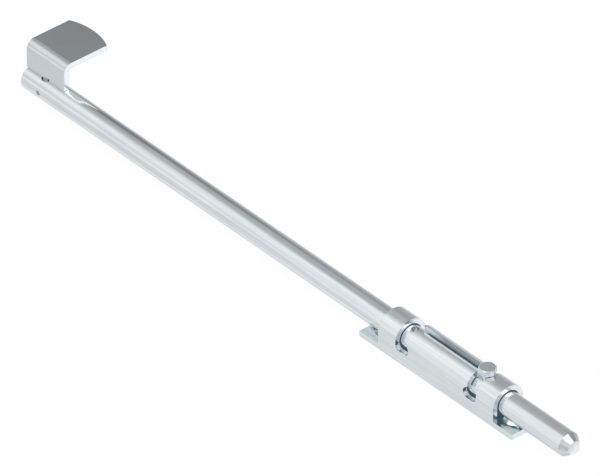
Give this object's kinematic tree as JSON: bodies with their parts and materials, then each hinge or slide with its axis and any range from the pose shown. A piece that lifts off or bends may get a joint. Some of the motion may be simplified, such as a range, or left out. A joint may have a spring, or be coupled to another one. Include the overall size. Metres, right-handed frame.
{
  "type": "gate drop bolt",
  "caption": "Round steel drop bolt with a bent flat handle that slides in a slotted, screw-on guide; a hexagon-head screw in the rod runs in the guide's slot.",
  "frame": {"origin": "middle of the guide's base plate, on its mounting face", "axes": "+X along the rod to its tip, +Z away from the mounting face, +Y across, the way the handle's grip points"},
  "size_m": [0.5005, 0.0479, 0.0386],
  "materials": {
    "guide_zinc": "bright zinc plating",
    "rod_zinc": "bright zinc plating",
    "handle_zinc": "bright zinc plating",
    "screw_zinc": "bright zinc plating"
  },
  "bodies": {
    "guide": {"guide": "guide_zinc"},
    "bolt": {"bolt_rod": "rod_zinc", "handle": "handle_zinc", "handle_set_screw": "screw_zinc", "locking_screw": "screw_zinc"}
  },
  "joints": [
    {"name": "rod_slide", "type": "slide", "parent": "guide", "child": "bolt", "axis": [1, 0, 0], "range_m": [-0.0662, 0]}
  ]
}
